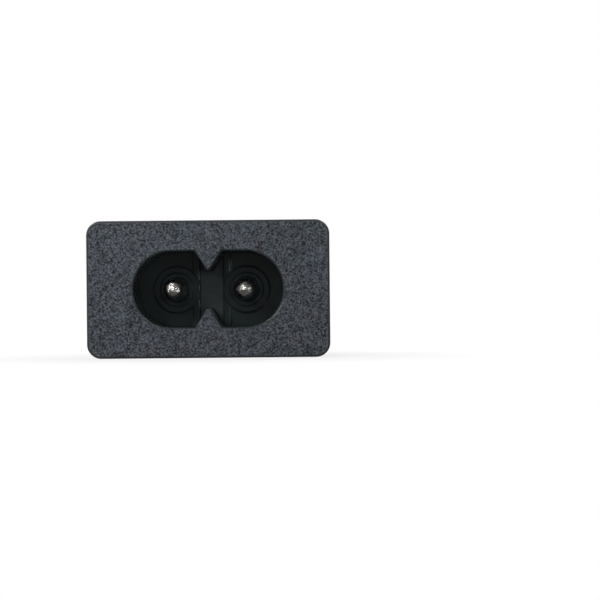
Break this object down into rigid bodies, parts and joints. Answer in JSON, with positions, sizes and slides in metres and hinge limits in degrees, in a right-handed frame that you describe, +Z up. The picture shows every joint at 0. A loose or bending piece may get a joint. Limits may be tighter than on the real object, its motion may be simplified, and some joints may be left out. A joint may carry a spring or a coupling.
{
  "type": "two-pin power socket",
  "caption": "Black snap-in panel socket with a figure-of-eight recess, round contact pins, spring latches at both ends, and rear solder tabs parted by a fin.",
  "frame": {"origin": "centre of the flange's back face, where the front of the panel rests", "axes": "+X across the two pins, +Y from the panel into the cabinet, +Z up; the user's plug comes in along +Y from the front"},
  "size_m": [0.0288, 0.0213, 0.0164],
  "materials": {
    "housing": "moulded black thermoplastic, spark-textured flange face, smooth body",
    "pins": "nickel-plated brass",
    "terminals": "bright tin-plated brass sheet"
  },
  "bodies": {
    "root": {"housing": "housing", "left_pin": "pins", "right_pin": "pins", "left_terminal": "terminals", "right_terminal": "terminals"}
  },
  "joints": []
}
